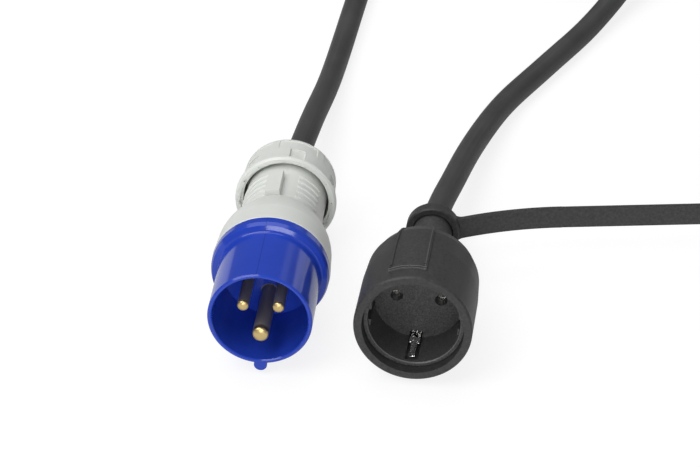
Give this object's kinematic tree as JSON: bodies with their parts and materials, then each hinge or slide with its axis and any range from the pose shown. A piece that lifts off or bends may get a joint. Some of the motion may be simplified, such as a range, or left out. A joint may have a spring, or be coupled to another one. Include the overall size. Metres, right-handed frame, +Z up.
{
  "type": "power adapter lead",
  "caption": "Short rubber-sheathed adapter lead from a round industrial pin plug with gland nut to an earthed rubber socket with a tethered cap, its spare cable coiled and tied.",
  "frame": {"origin": "on the floor under the middle of the box round plug, socket and cap, without the cable", "axes": "+X to the viewer's right, +Y away from the viewer towards the coil, +Z up"},
  "size_m": [0.2724, 0.4659, 0.0529],
  "materials": {
    "blue_plastic": "moulded nylon, half gloss",
    "grey_plastic": "moulded nylon, light grey, half gloss",
    "soft_rubber": "soft moulded seal rubber",
    "brass": "turned, bright",
    "plated_steel": "zinc plated",
    "brown_insulation": "plain core insulation",
    "blue_insulation": "plain core insulation",
    "green_insulation": "earth core insulation",
    "cable_sheath": "matt rubber sheath",
    "tie_fabric": "hook-and-loop tape",
    "socket_rubber": "matt moulded rubber",
    "black_plastic": "matt moulded thermoset"
  },
  "bodies": {
    "lead": {"plug_shroud": "blue_plastic", "plug_housing": "grey_plastic", "gland_seal": "soft_rubber", "line_pin": "brass", "neutral_pin": "brass", "earth_pin": "brass", "plug_terminal_screws": "plated_steel", "plug_line_core": "brown_insulation", "plug_neutral_core": "blue_insulation", "plug_earth_core": "green_insulation", "cable_plug_run": "cable_sheath", "cable_coil": "cable_sheath", "cable_socket_run": "cable_sheath", "coil_tie": "tie_fabric", "socket_shell": "socket_rubber", "socket_insert": "black_plastic", "socket_rear": "socket_rubber", "line_contact": "brass", "neutral_contact": "brass", "earth_clip": "plated_steel", "socket_terminal_screws": "plated_steel", "cord_saddle": "black_plastic", "cord_clamp": "black_plastic", "clamp_screws": "plated_steel", "socket_line_core": "brown_insulation", "socket_neutral_core": "blue_insulation", "socket_earth_core": "green_insulation"},
    "thrust": {"thrust_ring": "grey_plastic"},
    "nut": {"gland_nut": "grey_plastic"},
    "cap": {"socket_cap": "socket_rubber"}
  },
  "joints": [
    {"name": "gland_travel", "type": "slide", "parent": "lead", "child": "thrust", "axis": [-0.0922, -0.9944, 0.0517], "range_m": [0, 0.00737]},
    {"name": "gland_turn", "type": "hinge", "parent": "thrust", "child": "nut", "pos_m": [-0.10433, 0.0519, 0.02236], "axis": [-0.0922, -0.9944, 0.0517], "range_deg": [0, 630]},
    {"name": "cap_swivel", "type": "hinge", "parent": "lead", "child": "cap", "pos_m": [-0.0395, 0.02295, 0.02023], "axis": [-0.1283, -0.9876, 0.0906], "range_deg": [0, 140]}
  ],
  "couplings": [
    {"joint": "gland_travel", "follows": "gland_turn", "m_per_rad": 0.00066845}
  ]
}
